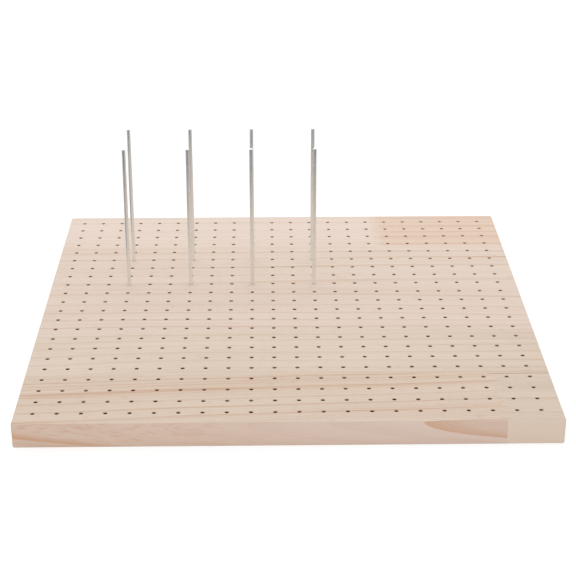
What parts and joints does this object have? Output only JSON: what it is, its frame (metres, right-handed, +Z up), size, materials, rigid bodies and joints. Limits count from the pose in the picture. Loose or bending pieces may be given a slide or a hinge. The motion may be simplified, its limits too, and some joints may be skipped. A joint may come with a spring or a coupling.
{
  "type": "blocking board",
  "caption": "Square pine blocking board drilled with a grid of small peg holes, with upright polished steel pins that lift out of the holes to hold knitted or crocheted pieces in shape.",
  "frame": {"origin": "middle of the panel's underside", "axes": "+Z up out of the drilled face, +Y from the front edge to the back edge, +X to the right, along the grain"},
  "size_m": [0.299, 0.3, 0.1062],
  "materials": {
    "pine": "matte",
    "pine_yellow": "matte",
    "pine_red": "matte",
    "pin_steel": "polished"
  },
  "bodies": {
    "board": {"front_stave_long": "pine", "front_stave_short": "pine_yellow", "second_stave": "pine", "middle_stave": "pine", "fourth_stave": "pine", "back_stave_long": "pine", "back_stave_short": "pine_red"},
    "front_pin_1": {"pin_front_1": "pin_steel"},
    "front_pin_2": {"pin_front_2": "pin_steel"},
    "front_pin_3": {"pin_front_3": "pin_steel"},
    "front_pin_4": {"pin_front_4": "pin_steel"},
    "back_pin_1": {"pin_back_1": "pin_steel"},
    "back_pin_2": {"pin_back_2": "pin_steel"},
    "back_pin_3": {"pin_back_3": "pin_steel"},
    "back_pin_4": {"pin_back_4": "pin_steel"}
  },
  "joints": [
    {"name": "front_pin_1_lift", "type": "slide", "parent": "board", "child": "front_pin_1", "axis": [0, 0, 1], "range_m": [0, 0.015]},
    {"name": "front_pin_2_lift", "type": "slide", "parent": "board", "child": "front_pin_2", "axis": [0, 0, 1], "range_m": [0, 0.015]},
    {"name": "front_pin_3_lift", "type": "slide", "parent": "board", "child": "front_pin_3", "axis": [0, 0, 1], "range_m": [0, 0.015]},
    {"name": "front_pin_4_lift", "type": "slide", "parent": "board", "child": "front_pin_4", "axis": [0, 0, 1], "range_m": [0, 0.015]},
    {"name": "back_pin_1_lift", "type": "slide", "parent": "board", "child": "back_pin_1", "axis": [0, 0, 1], "range_m": [0, 0.015]},
    {"name": "back_pin_2_lift", "type": "slide", "parent": "board", "child": "back_pin_2", "axis": [0, 0, 1], "range_m": [0, 0.015]},
    {"name": "back_pin_3_lift", "type": "slide", "parent": "board", "child": "back_pin_3", "axis": [0, 0, 1], "range_m": [0, 0.015]},
    {"name": "back_pin_4_lift", "type": "slide", "parent": "board", "child": "back_pin_4", "axis": [0, 0, 1], "range_m": [0, 0.015]}
  ]
}
